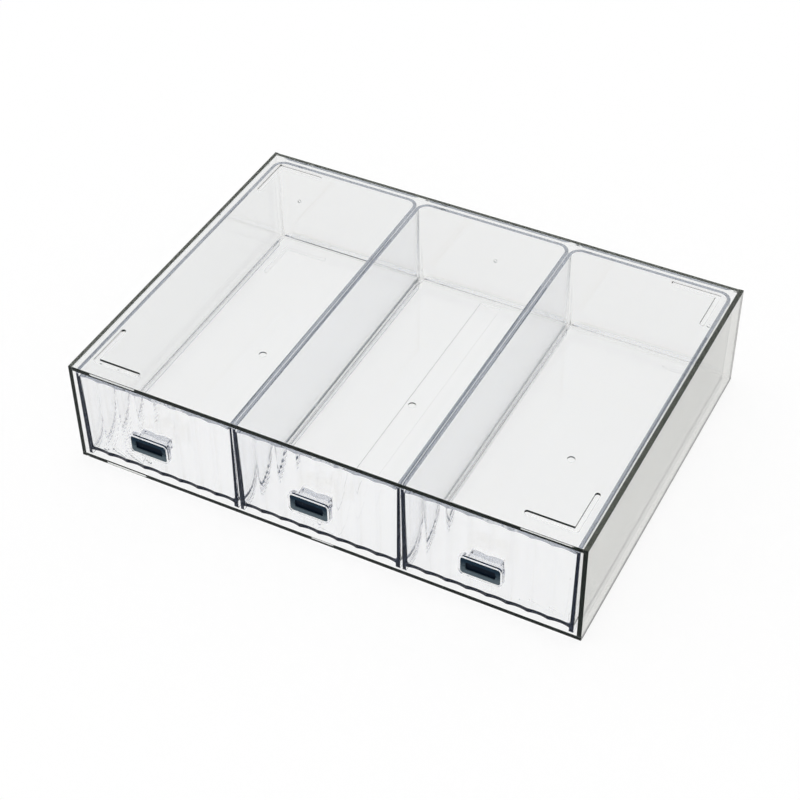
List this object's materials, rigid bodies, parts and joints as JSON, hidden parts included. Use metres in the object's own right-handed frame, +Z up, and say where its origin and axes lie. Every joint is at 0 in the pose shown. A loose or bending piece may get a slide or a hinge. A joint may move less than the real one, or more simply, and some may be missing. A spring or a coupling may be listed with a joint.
{
  "type": "desk drawer organizer",
  "caption": "Low clear-plastic desk organizer with sliding drawers side by side, fluted fronts, small dark-inlaid pulls and corner stacking grooves.",
  "frame": {"origin": "on the desk, under the middle of the whole object's plan, pulls included", "axes": "+X to the right as seen from the front, +Y towards the back, +Z up; the drawers slide out along -Y"},
  "size_m": [0.32, 0.244, 0.071],
  "materials": {
    "case_clear": "gloss",
    "drawer_clear": "gloss",
    "inlay_navy": "satin"
  },
  "bodies": {
    "case": {"base_panel": "case_clear", "left_side_panel": "case_clear", "right_side_panel": "case_clear", "back_panel": "case_clear", "top_panel": "case_clear", "front_left_foot": "case_clear", "front_right_foot": "case_clear", "rear_left_foot": "case_clear", "rear_right_foot": "case_clear"},
    "left_drawer": {"left_drawer_tray": "drawer_clear", "left_drawer_front": "drawer_clear", "left_drawer_pull": "drawer_clear", "left_pull_inlay": "inlay_navy"},
    "centre_drawer": {"centre_drawer_tray": "drawer_clear", "centre_drawer_front": "drawer_clear", "centre_drawer_pull": "drawer_clear", "centre_pull_inlay": "inlay_navy"},
    "right_drawer": {"right_drawer_tray": "drawer_clear", "right_drawer_front": "drawer_clear", "right_drawer_pull": "drawer_clear", "right_pull_inlay": "inlay_navy"}
  },
  "joints": [
    {"name": "left_drawer_slide", "type": "slide", "parent": "case", "child": "left_drawer", "axis": [0, -1, 0], "range_m": [0, 0.19]},
    {"name": "centre_drawer_slide", "type": "slide", "parent": "case", "child": "centre_drawer", "axis": [0, -1, 0], "range_m": [0, 0.19]},
    {"name": "right_drawer_slide", "type": "slide", "parent": "case", "child": "right_drawer", "axis": [0, -1, 0], "range_m": [0, 0.19]}
  ]
}
